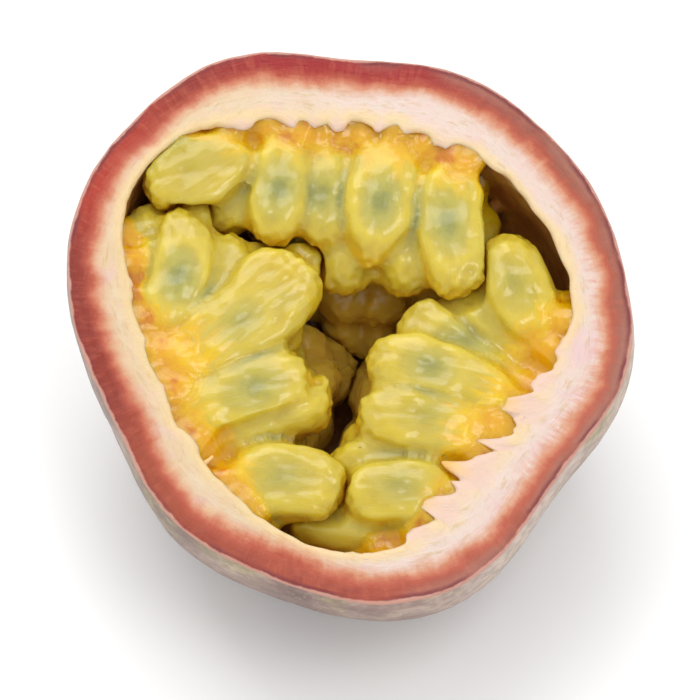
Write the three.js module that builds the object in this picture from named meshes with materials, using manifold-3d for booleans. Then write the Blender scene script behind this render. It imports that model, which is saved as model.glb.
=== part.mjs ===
// Half of a purple passion fruit, cut across its stem axis and lying cut face up on its skin.
// Millimetres, +Z up. The four solids are the rind, which is a thick bowl with short pegs on its
// inner wall, and three bunches of juice sacs, one for each of the fruit's three placentas.
//
// Each solid is made in the fruit's own frame: the origin is the middle of the cut face, +z leaves
// the fruit through the cut, and the stem end is at -z. The last lines tip that frame back a little,
// as the half lies when set down, and put the origin under the middle of the whole thing.

import * as THREE from "three";
import { mergeVertices } from "three/addons/utils/BufferGeometryUtils.js";
import Module from "manifold-3d";

const wasm = await Module();
wasm.setup();

// ---- Driving dimensions ----

const FACE_RADIUS = 26.2; // mean radius of the cut skin
const HOLLOW_RADIUS = 20.6; // mean radius of the hollow at the cut
const SKIN_REACH = 25.5; // from the fruit's middle to its stem end, outside
const HOLLOW_REACH = 20.6; // the same inside
const CUT_HEIGHT = 3.4; // the knife passed this far above the fruit's middle
const FULLNESS = 2.12; // exponent of the meridian: 2 is an ellipse, more is rounder-shouldered
const LEAN = THREE.MathUtils.degToRad(16); // the cut face tips this far from level
const FLAT_DEPTH = 0.62; // how much of the underside is flattened where the half lies

// The outline swells and flattens round the fruit: [waves per turn, height, direction of a crest].
const SKIN_WAVES = [
  [1, 0.74, 15], [2, 0.94, -61], [3, 1.07, 27], [4, 0.13, 13], [5, 0.3, 2],
  [6, 0.46, -8], [7, 0.06, 26], [8, 0.13, -22], [9, 0.12, -12],
];
const HOLLOW_WAVES = [[1, 0.4, -22], [2, 1.1, -54], [3, 1.6, 25], [5, 0.5, -5]];
// Shallow dents of the skin: [waves per turn, waves per meridian, height, phase].
const DENTS = [[3, 2.2, 0.22, 40], [5, 3.1, 0.16, 110], [2, 4.3, 0.2, 250]];

const SCAR_RADIUS = 2.1; // where the stem broke off
const SCAR_LIP = 0.35;
const SCAR_PIT = 0.7;

const TURN_STEPS = 48; // facets round the fruit
const SKIN_RINGS = 11;
const HOLLOW_RINGS = 9;

const SECTOR = 120; // degrees that each placenta's bunch may fill
const GAP = 0.35; // between neighbouring solids

// A peg is the short stalk that a sac hangs from. Radii, and how far it is sunk into the wall.
const PEG_BASE = 1.6;
const PEG_TIP = 0.9;
const PEG_SIDES = 4;
const PEG_SUNK = 1.2;

const SAC_SIDES = 7;
const SAC_FLATNESS = 0.93; // height against width
const ROOT_WIDTH = 0.55; // a sac's width at its root, as a share of its full width
const ROOT_SHARE = 0.3; // the share of its length over which it widens
const CAP_LENGTH = 1.5; // length of the rounded tip, in half-widths
const BEND = 0.42; // a sac leaves the wall square to it for about this share of its length
const SETTLE = 0.15; // and then turns to its tip
const LEVEL_TOP = -0.15; // the other half held the top sacs down to this height
const LEVEL_ROOM = 1.15; // and squeezed everything that stood less than this far below it

// The three placentas: the direction of each one's middle, the length of its pegs, and the sacs that
// the cut face shows, as [root, tip x, tip y, down, half-width, squareness]. A sac starts at the
// angle root on the wall and ends at its tip, with its middle line this far down below the cut.
// Squareness 2 is a round tip, less is pointed and more is blunt.
const PLACENTAS = [
  {
    name: "top", middle: 80, peg: 0.7,
    sacs: [
      [124, -18.4, 12.9, 2.5, 4.6, 2.8],
      [113, -12.4, 9.9, 4.6, 3.2, 2.0],
      [107, -7.0, 7.6, 2.5, 2.9, 2.2],
      [94, -1.8, 7.4, 3.4, 2.7, 2.0],
      [74, 2.7, 5.3, 2.5, 3.5, 1.4],
      [54, 11.8, 2.6, 2.4, 3.2, 3.6],
      [66, 6.8, 3.2, 5.0, 3.2, 2.4],
      [88, 0.3, 3.6, 5.6, 3.0, 2.4],
    ],
  },
  {
    name: "left", middle: 200, peg: 0.7,
    sacs: [
      [164, -13.2, 13.4, 3.6, 3.1, 2.0],
      [170, -18.4, 12.0, 4.2, 3.2, 2.6],
      [183, -15.4, 11.0, 2.5, 3.5, 2.4],
      [190, -10.2, 9.0, 3.8, 3.1, 2.0],
      [197, -3.5, 5.8, 2.5, 4.2, 2.8],
      [196, -4.2, 1.8, 5.4, 3.4, 2.6],
      [213, -2.8, -5.8, 2.4, 3.4, 2.8],
      [218, -0.8, -7.4, 4.0, 3.4, 3.2],
      [227, -4.6, -12.4, 6.4, 3.2, 2.0],
      [241, 0.0, -17.5, 2.6, 3.6, 3.6],
      [193, -6.8, 8.4, 4.8, 2.8, 2.0],
      [200, -2.4, 8.2, 5.2, 3.0, 2.0],
    ],
  },
  {
    name: "right", middle: 320, peg: 1.7,
    sacs: [
      [357, 15.8, 8.7, 2.8, 3.5, 2.2],
      [348, 11.0, 4.8, 4.7, 3.2, 2.0],
      [342, 6.2, 1.4, 4.6, 3.1, 2.8],
      [332, 2.4, -3.6, 2.5, 3.5, 2.0],
      [320, 1.6, -9.7, 2.6, 3.5, 2.4],
      [316, 0.2, -11.6, 5.4, 3.0, 2.0],
      [308, -1.4, -14.4, 4.2, 2.8, 2.0],
      [297, 0.4, -17.7, 2.6, 3.3, 3.0],
      [282, -4.8, -19.4, 5.0, 3.0, 2.0],
    ],
  },
];

// The rows of sacs under them are laid out by rule, over a spread of degrees. They grow towards the
// heart of the hollow, and a short sac and a long one take turns: their tips are these shares of the
// way from the heart to the wall.
const UNDER_ROWS = [
  { down: 8.6, count: 7, spread: 76, tips: [0.5, 0.28] },
  { down: 13.2, count: 5, spread: 70, tips: [0.4, 0.15] },
];
const UNDER_HALF = 3.3;
const TIP_SINK = 1;
const HEART_X = 2;
const HEART_Y = 0.9;
const CORE_TOP = 13.2; // deeper still, each bunch is one mass
const CORE_DISH = 4; // whose top sinks by this much towards the axis

// ---- Forms ----

const rad = THREE.MathUtils.degToRad;
const fade = (tilt) => Math.max(0, Math.cos(tilt)) ** 1.2;
const full = (tilt) => Math.max(0, Math.cos(tilt)) ** (2 / FULLNESS);
const cutTilt = (reach) => -Math.asin(CUT_HEIGHT / reach);

function swellAt(turn, tilt, outline, dents) {
  let swell = 0;
  for (const [n, height, crest] of outline) swell += height * Math.cos(n * (turn - rad(crest)));
  for (const [n, m, height, phase] of dents) {
    swell += height * Math.cos(n * turn + rad(phase)) * Math.sin(m * tilt + rad(phase));
  }
  return swell * fade(tilt);
}

// A point of a wall at an angle round the axis and a tilt below the fruit's middle.
function wallPoint(turn, tilt, radius, reach, outline, offset = 0, dents = []) {
  const swelled = radius + swellAt(turn, tilt, outline, dents);
  const r = (swelled * full(tilt)) / full(cutTilt(reach)) - offset * Math.cos(tilt);
  const sine = tilt < 0 ? Math.sin(tilt) : Math.sin(tilt) ** (2 / FULLNESS);
  const z = -CUT_HEIGHT - (reach - offset) * sine;
  return new THREE.Vector3(r * Math.cos(turn), r * Math.sin(turn), z);
}

function skinPoint(turn, tilt) {
  return wallPoint(turn, tilt, FACE_RADIUS, SKIN_REACH, SKIN_WAVES, 0, DENTS);
}

function hollowPoint(turn, tilt, offset = 0) {
  return wallPoint(turn, tilt, HOLLOW_RADIUS, HOLLOW_REACH, HOLLOW_WAVES, offset);
}

// The hollow's wall at an angle and a depth below the cut.
function wallAt(turn, down) {
  const share = (down - CUT_HEIGHT) / HOLLOW_REACH;
  const tilt = share < 0 ? Math.asin(share) : Math.asin(Math.min(1, share) ** (FULLNESS / 2));
  return hollowPoint(turn, tilt);
}

// A ring of points round a middle, across the direction along.
function ringAcross(middle, along, sides, width, height) {
  const side = new THREE.Vector3(0, 0, 1).cross(along).normalize();
  const up = along.clone().cross(side);
  return Array.from({ length: sides }, (_, i) => {
    const a = (i * 2 * Math.PI) / sides;
    const across = side.clone().multiplyScalar(width * Math.cos(a));
    return middle.clone().add(across).addScaledVector(up, height * Math.sin(a));
  });
}

// A closed body through rings of points, with a point at each end.
function loft(start, rings, end) {
  const n = rings[0].length;
  const points = [start, ...rings.flat(), end];
  const last = points.length - 1;
  const index = [];
  for (let i = 0; i < n; i++) {
    const j = (i + 1) % n;
    index.push(0, 1 + j, 1 + i);
    index.push(last, last - n + i, last - n + j);
    for (let k = 0; k + 1 < rings.length; k++) {
      const a = 1 + k * n;
      index.push(a + i, a + j, a + n + j, a + i, a + n + j, a + n + i);
    }
  }
  return new THREE.BufferGeometry().setFromPoints(points).setIndex(index);
}

// ---- Solids ----

function solid(geometry) {
  const bare = geometry.clone();
  bare.deleteAttribute("normal");
  bare.deleteAttribute("uv");
  const merged = mergeVertices(bare, 1e-4);
  const index = merged.index.array;
  const made = new wasm.Manifold(new wasm.Mesh({
    numProp: 3,
    vertProperties: merged.attributes.position.array,
    triVerts: new Uint32Array(index),
  }));
  if (made.volume() >= 0) return made;
  for (let i = 0; i < index.length; i += 3) [index[i + 1], index[i + 2]] = [index[i + 2], index[i + 1]];
  return solid(merged);
}

const join = (solids) => solids.reduce((sum, next) => sum.add(next));
const block = (depth, z) => new THREE.BoxGeometry(80, 80, depth).translate(0, 0, z);

// The largest piece of a solid, which drops loose scraps and fills sealed hollows.
function mainBody(made) {
  return made.decompose().reduce((best, next) => (next.volume() > best.volume() ? next : best));
}

function mesh(name, made, colour, roughness) {
  const { vertProperties, numProp, triVerts } = made.getMesh();
  const position = new Float32Array((vertProperties.length / numProp) * 3);
  for (let i = 0; i < position.length / 3; i++) {
    position.set(vertProperties.subarray(i * numProp, i * numProp + 3), i * 3);
  }
  const shared = new THREE.BufferGeometry()
    .setAttribute("position", new THREE.BufferAttribute(position, 3))
    .setIndex(new THREE.BufferAttribute(triVerts, 1));
  const faceted = shared.toNonIndexed();
  faceted.computeVertexNormals();
  const material = new THREE.MeshStandardMaterial({ color: colour, roughness, metalness: 0 });
  const part = new THREE.Mesh(faceted, material);
  part.name = name;
  return part;
}

// ---- The rind ----

const turns = Array.from({ length: TURN_STEPS }, (_, i) => (i * 2 * Math.PI) / TURN_STEPS);

// Rings of a wall from the cut to near the stem end.
function wallRings(point, reach, count) {
  return Array.from({ length: count }, (_, k) => {
    const tilt = cutTilt(reach) + ((Math.PI / 2 - cutTilt(reach)) * k) / count;
    return turns.map((turn) => point(turn, tilt));
  });
}

// The stem scar is a raised lip round a small pit, in rings at the end of the skin.
function scarRings() {
  const bottom = skinPoint(0, Math.PI / 2).z;
  const steps = [[1.25, 0.12], [1, -SCAR_LIP], [0.6, -SCAR_LIP], [0.4, SCAR_PIT * 0.6]];
  const rings = steps.map(([share, rise]) => turns.map((turn) => {
    const r = SCAR_RADIUS * share;
    return new THREE.Vector3(r * Math.cos(turn), r * Math.sin(turn), bottom + rise);
  }));
  return { rings, middle: new THREE.Vector3(0, 0, bottom + SCAR_PIT) };
}

// What the hollow's wall encloses, moved in by an offset, and open well above the cut.
function hollow(offset) {
  const openTop = 4;
  const point = (turn, tilt) => hollowPoint(turn, tilt, offset);
  const rings = wallRings(point, HOLLOW_REACH, HOLLOW_RINGS);
  const raised = rings[0].map((p) => p.clone().setZ(openTop));
  return solid(loft(new THREE.Vector3(0, 0, openTop), [raised, ...rings], point(0, Math.PI / 2)));
}

function shell() {
  const scar = scarRings();
  const rings = [...wallRings(skinPoint, SKIN_REACH, SKIN_RINGS), ...scar.rings];
  return solid(loft(new THREE.Vector3(0, 0, 0), rings, scar.middle)).subtract(hollow(0));
}

// A short cone from inside the wall to the root of a sac. Grown makes it wider all round.
function pegBody({ foot, root }, grown = 0) {
  const along = root.clone().sub(foot).normalize();
  const base = foot.clone().addScaledVector(along, -PEG_SUNK);
  const end = root.clone().addScaledVector(along, grown);
  const ring = (middle, radius) => ringAcross(middle, along, PEG_SIDES, radius + grown, radius + grown);
  return solid(loft(base, [ring(base, PEG_BASE), ring(end, PEG_TIP)], end));
}

function rindSolid(pegs, ground) {
  const aboveCut = solid(block(20, 10));
  return mainBody(join([shell(), ...pegs.map((sac) => pegBody(sac))]).subtract(aboveCut).subtract(ground));
}

// ---- The juice sacs ----

// Where a sac's middle line runs: from its peg's foot on the wall to its root, a bend and its tip.
function layOut([angle, tipX, tipY, down, half, square], peg, sink = 0) {
  const foot = wallAt(rad(angle), down);
  const tip = new THREE.Vector3(tipX, tipY, -down - sink);
  const inwards = new THREE.Vector3(-Math.cos(rad(angle)), -Math.sin(rad(angle)), 0);
  const root = foot.clone().addScaledVector(inwards, peg);
  const length = root.distanceTo(tip);
  const bend = root.clone().addScaledVector(inwards, length * BEND).lerp(tip, SETTLE);
  return { foot, root, bend, tip, length, half, square };
}

// The share of its length where a sac's rounded tip begins.
const capStart = ({ half, length }) => 1 - Math.min(0.6, (CAP_LENGTH * half) / length);

// A sac's width at a share of its length, as a share of its full width.
function widthAt(sac, share) {
  const grow = THREE.MathUtils.smoothstep(share, 0, ROOT_SHARE);
  const cap = Math.max(0, (share - capStart(sac)) / (1 - capStart(sac)));
  return (ROOT_WIDTH + (1 - ROOT_WIDTH) * grow) * (1 - cap ** sac.square) ** (1 / sac.square);
}

// Heights near the cut, squeezed to stay below it.
function levelled(point) {
  const knee = LEVEL_TOP - LEVEL_ROOM;
  if (point.z > knee) point.z = knee + LEVEL_ROOM * Math.tanh((point.z - knee) / LEVEL_ROOM);
  return point;
}

// A body round a sac's middle line. Grown makes it wider all round.
function sacBody(sac, grown = 0) {
  const line = new THREE.QuadraticBezierCurve3(sac.root, sac.bend, sac.tip);
  const start = capStart(sac);
  const ends = [0.6, 0.9].map((part) => start + (1 - start) * part);
  const shares = [0, ROOT_SHARE / 2, ROOT_SHARE, start, ...ends];
  const rings = shares.map((share) => {
    const width = sac.half * widthAt(sac, share);
    const height = width * SAC_FLATNESS;
    const middle = line.getPoint(share);
    const ring = ringAcross(middle, line.getTangent(share), SAC_SIDES, width + grown, height + grown);
    return ring.map(levelled);
  });
  const before = sac.root.clone().addScaledVector(line.getTangent(0), -grown);
  const after = sac.tip.clone().addScaledVector(line.getTangent(1), grown);
  return solid(loft(before, rings, after));
}

function underRow({ down, count, spread, tips }, middle, peg) {
  return Array.from({ length: count }, (_, i) => {
    const angle = middle + spread * (i / (count - 1) - 0.5);
    const heart = new THREE.Vector3(HEART_X, HEART_Y, -down);
    const tip = heart.lerp(wallAt(rad(angle), down), tips[i % 2]);
    return layOut([angle, tip.x, tip.y, down, UNDER_HALF, 2], peg, TIP_SINK);
  });
}

// The packed sacs deep in the hollow, as one mass that fills a bunch's share of it.
function core(middle) {
  const reach = 40;
  const arm = (angle, length) =>
    new THREE.Vector2(length * Math.cos(rad(angle)), length * Math.sin(rad(angle)));
  const corner = arm(middle, GAP);
  const outline = new THREE.Shape([
    corner,
    arm(middle - SECTOR / 2, reach).add(corner),
    arm(middle, reach),
    arm(middle + SECTOR / 2, reach).add(corner),
  ]);
  const wedge = new THREE.ExtrudeGeometry(outline, { depth: reach, bevelEnabled: false })
    .translate(0, 0, -reach - CORE_TOP);
  const dish = new THREE.ConeGeometry(HOLLOW_RADIUS, CORE_DISH, TURN_STEPS / 3)
    .rotateX(-Math.PI / 2).translate(0, 0, -CORE_TOP - CORE_DISH / 2);
  return solid(wedge).subtract(solid(dish));
}

// Each bunch keeps clear of the wall, of the pegs and of the bunches before it.
function bunchSolids(bunches, pegs) {
  const room = hollow(GAP).subtract(join(pegs.map((sac) => pegBody(sac, GAP))));
  const taken = [];
  return bunches.map(({ name, middle, sacs }) => {
    let made = join([core(middle), ...sacs.map((sac) => sacBody(sac))]).intersect(room);
    for (const earlier of taken) made = made.subtract(earlier);
    taken.push(join([core(middle), ...sacs.map((sac) => sacBody(sac, GAP))]));
    return { name, made: mainBody(made) };
  });
}

// ---- The half, as it lies ----

const bunches = PLACENTAS.map(({ name, middle, peg, sacs }) => {
  const under = UNDER_ROWS.flatMap((row) => underRow(row, middle, peg));
  return { name, middle, sacs: [...sacs.map((row) => layOut(row, peg)), ...under] };
});
const pegs = bunches.flatMap(({ sacs }) => sacs);

const half = new THREE.Group();
half.rotation.x = LEAN;
const meridian = Array.from({ length: 60 }, (_, k) => (Math.PI / 2) * (k / 59));
const skinHeights = turns.flatMap((turn) =>
  meridian.map((tilt) => skinPoint(turn, tilt).applyEuler(half.rotation).z));
half.position.z = -Math.min(...skinHeights) - FLAT_DEPTH;
half.updateMatrixWorld();
const ground = solid(block(20, -10).applyMatrix4(half.matrixWorld.clone().invert()));

half.add(mesh("rind", rindSolid(pegs, ground), 0x6f4a4c, 0.6));
for (const { name, made } of bunchSolids(bunches, pegs)) {
  half.add(mesh("sacs_" + name, made, 0xd3bf4a, 0.2));
}

const passionFruit = new THREE.Group().add(half);
const middle = new THREE.Box3().setFromObject(passionFruit, true).getCenter(new THREE.Vector3());
passionFruit.position.set(-middle.x, -middle.y, 0);

export default passionFruit;
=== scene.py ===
# %% [markdown]
# # Half a passion fruit, lying cut face up
# A cut passion fruit is a thick bowl of rind packed with juice sacs. Each sac is a soft bag of
# yellow juice round one seed, and hangs from a short peg on the bowl's wall.
#
# The imported model already says how big everything is and where it lies, so the first step is to load
# it. The rind's box, read from it, later says where the fruit's middle goes.

# %% Load the imported model
import math

import bpy
import numpy as np
from mathutils import Matrix, Vector
from mathutils.kdtree import KDTree


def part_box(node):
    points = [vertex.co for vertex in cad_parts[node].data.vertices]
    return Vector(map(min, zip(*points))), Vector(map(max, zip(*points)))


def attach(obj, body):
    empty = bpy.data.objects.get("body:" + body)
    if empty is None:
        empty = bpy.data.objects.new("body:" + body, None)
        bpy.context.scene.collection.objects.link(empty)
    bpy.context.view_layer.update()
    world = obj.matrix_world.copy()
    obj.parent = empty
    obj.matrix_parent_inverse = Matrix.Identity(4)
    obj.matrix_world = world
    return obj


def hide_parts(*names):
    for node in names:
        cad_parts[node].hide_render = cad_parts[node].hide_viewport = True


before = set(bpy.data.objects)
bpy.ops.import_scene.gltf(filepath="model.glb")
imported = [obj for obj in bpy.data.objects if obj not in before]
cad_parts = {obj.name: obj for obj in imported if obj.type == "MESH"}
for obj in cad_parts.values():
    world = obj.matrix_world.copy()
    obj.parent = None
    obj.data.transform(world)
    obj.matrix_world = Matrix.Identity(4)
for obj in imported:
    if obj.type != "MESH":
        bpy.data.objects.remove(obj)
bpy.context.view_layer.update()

# %% [markdown]
# ## The form of the fruit
# Seen along its stem, the fruit is a circle that grew a little uneven, so its outline is a radius
# with a few slow waves added. Seen from the side it is close to an ellipse. One formula for both
# gives every point of the skin from an angle round the axis and a tilt below the middle, and the
# same formula with other numbers gives the wall of the hollow.
#
# Lengths in these formulas are millimetres. Their frame has its origin in the middle of the cut face
# and +z out of the cut, because a cut fruit is easiest to describe from its cut.

# %% The fruit's sizes
MM = 0.001
FACE_RADIUS = 26.2  # mean radius of the skin at the cut
HOLLOW_RADIUS = 20.6  # mean radius of the hollow at the cut
SKIN_REACH = 25.5  # from the fruit's middle to its stem end, outside
HOLLOW_REACH = 20.6  # the same inside
CUT_HEIGHT = 3.4  # the knife passed this far above the fruit's middle
FULLNESS = 2.12  # exponent of the side view: 2 is an ellipse, more is rounder-shouldered
LEAN = math.radians(16)
FLAT_DEPTH = 0.62  # how much of the underside is flattened where the half lies
SCAR_RADIUS = 2.1
SCAR_LIP = 0.42  # how high and how wide the scar's rim is
SCAR_PIT = 0.75
# Each wave is how many crests it has, how high they are, and the angle of one of them.
SKIN_WAVES = [
    (1, 0.74, 15), (2, 0.94, -61), (3, 1.07, 27), (4, 0.13, 13), (5, 0.3, 2),
    (6, 0.46, -8), (7, 0.06, 26), (8, 0.13, -22), (9, 0.12, -12),
]
HOLLOW_WAVES = [(1, 0.4, -22), (2, 1.1, -54), (3, 1.6, 25), (5, 0.5, -5)]
# Each dent is a wave round the axis and one up the side, their height and their phase.
DENTS = [(3, 2.2, 0.22, 40), (5, 3.1, 0.16, 110), (2, 4.3, 0.2, 250)]


def cut_tilt(reach):
    return -math.asin(CUT_HEIGHT / reach)


def wall_point(turn, tilt, radius, reach, outline, offset=0.0, dents=()):
    """Points of a wall, from angles round the axis and tilts below the fruit's middle."""
    flat = np.maximum(0, np.cos(tilt))
    swell = sum(h * np.cos(n * (turn - math.radians(crest))) for n, h, crest in outline)
    for n, m, h, phase in dents:
        turned, tilted = n * turn + math.radians(phase), m * tilt + math.radians(phase)
        swell = swell + h * np.cos(turned) * np.sin(tilted)
    full = (flat / math.cos(cut_tilt(reach))) ** (2 / FULLNESS)
    r = (radius + swell * flat ** 1.2) * full - offset * np.cos(tilt)
    sine = np.where(tilt < 0, np.sin(tilt), np.abs(np.sin(tilt)) ** (2 / FULLNESS))
    return np.stack([r * np.cos(turn), r * np.sin(turn), -CUT_HEIGHT - (reach - offset) * sine], -1)


def skin_point(turn, tilt):
    return wall_point(turn, tilt, FACE_RADIUS, SKIN_REACH, SKIN_WAVES, 0, DENTS)


def hollow_point(turn, tilt, offset=0.0):
    return wall_point(turn, tilt, HOLLOW_RADIUS, HOLLOW_REACH, HOLLOW_WAVES, offset)


def hollow_at(turn, down, offset=0.0):
    """The hollow's wall at angles round the axis and depths below the cut."""
    share = (np.asarray(down, float) - CUT_HEIGHT) / HOLLOW_REACH
    upper = np.arcsin(np.clip(share, -1, 0))
    lower = np.arcsin(np.clip(share, 0, 1) ** (FULLNESS / 2))
    return hollow_point(np.asarray(turn, float), np.where(share < 0, upper, lower), offset)


# %% [markdown]
# ## Laying the fruit down
# The half leans on a small flattened spot of its skin. Each piece could be built level and turned
# afterwards, but a finished piece has to sit at the origin, unturned, with its place in its mesh. So
# the points themselves are turned. The height comes from the same lean and flat as the packed
# model's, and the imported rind's box says where the middle goes.

# %% From the fruit's frame to the model's
round_turns = np.radians(np.arange(0, 360, 1.5))
down_tilts = np.linspace(cut_tilt(SKIN_REACH), math.pi / 2, 140)
outside = skin_point(*np.meshgrid(round_turns, down_tilts)).reshape(-1, 3)
leaning = outside @ np.array(Matrix.Rotation(LEAN, 3, "X")).T
low, high = (np.array(corner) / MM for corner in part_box("rind"))
middle = (low + high - leaning.min(0) - leaning.max(0)) / 2
PLACE = Matrix.Translation((middle[0] * MM, middle[1] * MM, (-leaning[:, 2].min() - FLAT_DEPTH) * MM))
PLACE = PLACE @ Matrix.Rotation(LEAN, 4, "X") @ Matrix.Scale(MM, 4)
print("middle of the cut face, in mm:", [round(v / MM, 2) for v in PLACE.translation])


def placed(points):
    """Points of the fruit's frame, in the model's, and none of them under the floor."""
    there = points @ np.array(PLACE.to_3x3()).T + np.array(PLACE.translation)
    there[:, 2] = np.maximum(there[:, 2], 0)
    return there


def back_in_fruit(there):
    """The other way: points of the model's frame, in the fruit's."""
    return (there - np.array(PLACE.translation)) @ np.linalg.inv(np.array(PLACE.to_3x3())).T


# %% Short ways to make a piece
def in_scene(name, data):
    """A new object in the scene, from a mesh, a light or a camera."""
    piece = bpy.data.objects.new(name, data)
    bpy.context.scene.collection.objects.link(piece)
    return piece


def loose_mesh(name, points, faces):
    mesh = bpy.data.meshes.new(name)
    mesh.from_pydata(points.tolist(), [], faces)
    return mesh


def build(name, points, faces):
    """A smooth-shaded mesh object from points in the fruit's frame."""
    mesh = loose_mesh(name, placed(points), faces)
    mesh.polygons.foreach_set("use_smooth", [True] * len(mesh.polygons))
    mesh.update()
    return in_scene(name, mesh)


def plain(name, carrier):
    """What a carrier's modifiers make, as a plain piece with no modifiers."""
    evaluated = carrier.evaluated_get(bpy.context.evaluated_depsgraph_get())
    return in_scene(name, bpy.data.meshes.new_from_object(evaluated))


def corners(piece):
    """Where a piece's points are, in the model's frame."""
    points = np.empty(len(piece.data.vertices) * 3)
    piece.data.vertices.foreach_get("co", points)
    return points.reshape(-1, 3)


def move_corners(piece, points):
    piece.data.vertices.foreach_set("co", points.ravel())
    piece.data.update()


def keep(piece, name, values):
    """Stores a number or a vector for each vertex, for a material to read."""
    values = np.asarray(values, np.float32)
    kind, field = ("FLOAT", "value") if values.ndim == 1 else ("FLOAT_VECTOR", "vector")
    piece.data.attributes.new(name, kind, "POINT").data.foreach_set(field, values.ravel())


# %% [markdown]
# ## Small unevenness
# Nothing that grew is perfectly smooth. A sculpting brush could lump it, but not the same way twice. A
# sum of waves in random directions makes soft lumps of a known size, and with a fixed seed it makes
# the same ones every time. It is used on the real mesh for what an eye would catch on an outline, and
# finer grain is left to the materials.


# %% Soft lumps
def lumps(points, size, seed, count=14):
    """About -1 to 1 at each point, changing over the given size."""
    rng = np.random.default_rng(seed)
    ways = rng.normal(size=(count, 3))
    ways *= (2 * math.pi / size) * rng.uniform(0.6, 1.3, (count, 1)) / np.linalg.norm(ways, axis=1)[:, None]
    return np.cos(points @ ways.T + rng.uniform(0, 2 * math.pi, count)).sum(1) * math.sqrt(2 / count) * 0.6


# %% [markdown]
# ## The rind
# The rind is one closed sheet: up the outside from the stem scar, across the cut, and down the wall of
# the hollow. It is made as rings of points round the axis, with the rings close together where the
# form turns quickly: at the scar, at the two edges of the cut, and across the cut itself. A sphere
# with a hollow cut out of it would be quicker, but its edges would be hard and its faces uneven.
#
# A knife leaves the spongy white pith a little lower than the tough skin beside it, and rounds neither
# edge completely, so both get a small radius of their own.

# %% The columns and rings of the rind
TURNS = 384
EDGE = 0.22  # radius of the rounding at the skin's edge of the cut
INNER_EDGE = 0.5  # and at the hollow's
PITH_SAG = 0.22
CROWDED_AT, CROWDED_OVER = 320, 34  # degrees where the columns stand closest, for the torn edge
spread = np.linspace(0, 2 * math.pi, 721)
crowding = 1 + 1.4 * np.exp(-(((np.degrees(spread) - CROWDED_AT) / CROWDED_OVER) ** 2))
turns = np.interp(np.arange(TURNS) / TURNS, np.cumsum(crowding) / crowding.sum(), spread)


def skin_ring(tilt):
    """A ring of the skin, with its fine dimples, and with the stem scar near the axis."""
    ring = skin_point(turns, np.full(TURNS, tilt))
    out = ring - [0, 0, -CUT_HEIGHT]
    out /= np.linalg.norm(out, axis=1)[:, None]
    r = np.hypot(ring[:, 0], ring[:, 1])
    lip = SCAR_LIP * np.exp(-(((r - 0.86 * SCAR_RADIUS) / SCAR_LIP) ** 2))
    pit = -SCAR_PIT * np.clip(1 - r / (0.62 * SCAR_RADIUS), 0, 1) ** 0.6
    ragged = 1 + 0.45 * lumps(ring, 1.4, 5)
    dimples = 0.05 * lumps(ring, 5.5, 11) + 0.018 * lumps(ring, 1.9, 12)
    return ring + out * (lip * ragged + pit + dimples * np.clip(r / 5, 0, 1))[:, None]


def hollow_ring(tilt):
    """A ring of the hollow's wall, with its lumps."""
    ring = hollow_point(turns, np.full(TURNS, tilt))
    inwards = -ring / np.linalg.norm(ring, axis=1)[:, None]
    return ring + inwards * (0.12 * lumps(ring, 3.2, 31) + 0.05 * lumps(ring, 1.2, 32))[:, None]


def cut_rings(outer, inner):
    """Rings across the cut, with rounded edges and a slightly sunken pith, and how deep each lies
    in from the skin."""
    inwards = inner - outer
    width = np.linalg.norm(inwards, axis=1)
    inwards /= width[:, None]
    corner = np.linspace(0, math.pi / 2, 5)
    depths = [np.full(TURNS, EDGE * (1 - math.cos(a))) for a in corner]
    rises = [EDGE * (math.sin(a) - 1) for a in corner]
    level = np.linspace(0, 1, 28)[1:]
    depths += [EDGE + share * (width - EDGE - INNER_EDGE) for share in level]
    rises += [0] * len(level)
    depths += [width - INNER_EDGE * (1 - math.sin(a)) for a in corner[1:]]
    rises += [INNER_EDGE * (math.cos(a) - 1) for a in corner[1:]]
    rings = []
    for depth, rise in zip(depths, rises):
        ring = outer + inwards * depth[:, None]
        middle = np.sin(math.pi * np.clip(depth / width, 0, 1))
        ring[:, 2] = rise - middle * (PITH_SAG * np.clip(depth / 2.2, 0, 1) - 0.04 * lumps(ring, 1.6, 21))
        rings.append(ring)
    return rings, depths, width


# %% [markdown]
# Where the sacs were pulled off, the pith's inner edge is torn into teeth that lean one way. A
# displacement texture would fray the edge alike all round, so a table puts each tooth in its own
# place. Each is a blunt finger, and fades out across the pith and down the wall.

# %% The torn edge
# The angle on the wall, how long, half as wide in degrees, and how far over it leans clockwise.
TEETH = [
    (351, 0.8, 7, 0.1), (341.5, 1.9, 9, 0.2), (333, 5.4, 6.4, 0.4), (327, 0.9, 5, 0.2),
    (321, 3.0, 3.2, 0.55), (315.5, 1.7, 6, 0.3), (310, 4.3, 7.5, 0.5), (304, 1.3, 5, 0.5),
    (298.5, 3.6, 6, 0.75), (290, 1.4, 8, 0.6),
    (117, 1.1, 9, 0), (104, 1.3, 5, 0.2), (97, 0.9, 5, -0.2), (91, 1.4, 4.6, 0), (79, 1.3, 5, 0.1),
    (70, 0.8, 6, 0), (61, 1.0, 7, 0.2),
    (172, 0.6, 8, 0), (188, 0.5, 9, 0), (205, 0.7, 8, 0), (222, 0.6, 9, 0),
]
TORN_ACROSS = 1.9  # how far in from the edge a tooth still pulls on the pith
TORN_DOWN = 2.6  # and how far down the wall


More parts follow.
